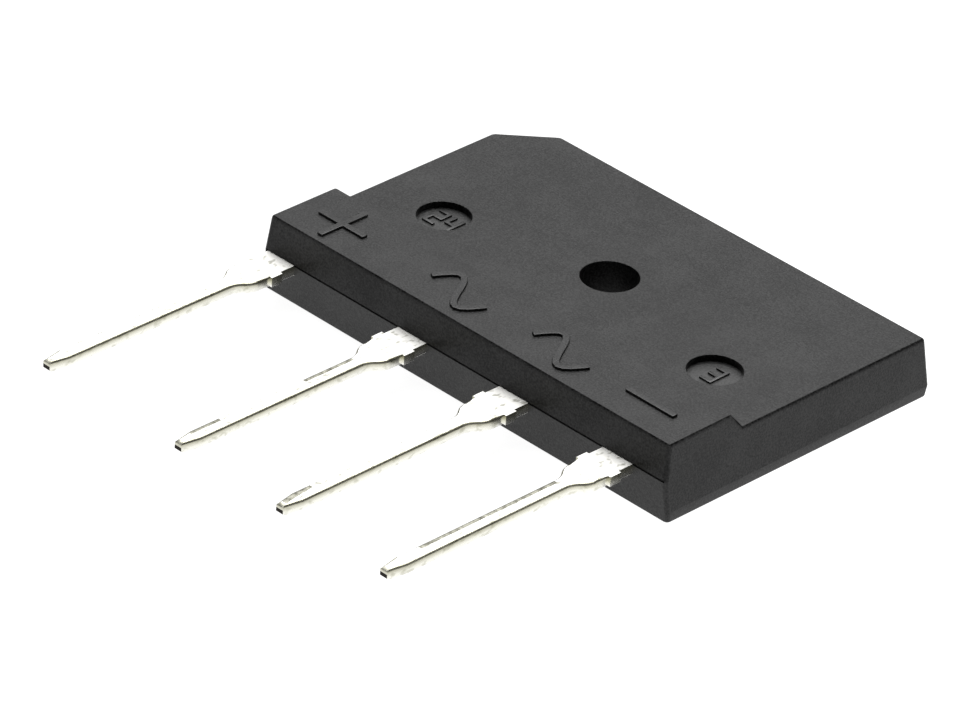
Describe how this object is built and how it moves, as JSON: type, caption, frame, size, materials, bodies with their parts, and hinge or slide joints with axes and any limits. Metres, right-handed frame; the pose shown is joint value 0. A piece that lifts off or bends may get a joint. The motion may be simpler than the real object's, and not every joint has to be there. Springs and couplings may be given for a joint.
{
  "type": "bridge rectifier",
  "caption": "Flat single-in-line bridge rectifier: black moulded body with a screw hole, marked rib and a row of tinned leads.",
  "frame": {"origin": "axis of the mounting hole, at the heat-sink face of the body", "axes": "+Z along the hole, out of the marked face; +X along the lead row, from the plus lead to the minus lead; +Y away from the leads"},
  "size_m": [0.03, 0.0365, 0.0047],
  "materials": {
    "epoxy": "moulded epoxy compound, fine satin texture",
    "tinned_lead": "bright tin plate on copper",
    "silicon": "polished silicon with passivated edge",
    "solder": "dull reflowed solder",
    "copper": "formed copper strip"
  },
  "bodies": {
    "root": {"body": "epoxy", "lead_frame_plus": "tinned_lead", "lead_frame_ac_left": "tinned_lead", "lead_frame_ac_right": "tinned_lead", "lead_frame_minus": "tinned_lead", "diode_die_1": "silicon", "diode_die_2": "silicon", "diode_die_3": "silicon", "diode_die_4": "silicon", "die_solder_1": "solder", "die_solder_2": "solder", "die_solder_3": "solder", "die_solder_4": "solder", "top_solder_1": "solder", "top_solder_2": "solder", "top_solder_3": "solder", "top_solder_4": "solder", "foot_solder_1": "solder", "foot_solder_2": "solder", "foot_solder_3": "solder", "foot_solder_4": "solder", "clip_1": "copper", "clip_2": "copper", "clip_3": "copper", "clip_4": "copper"}
  },
  "joints": []
}
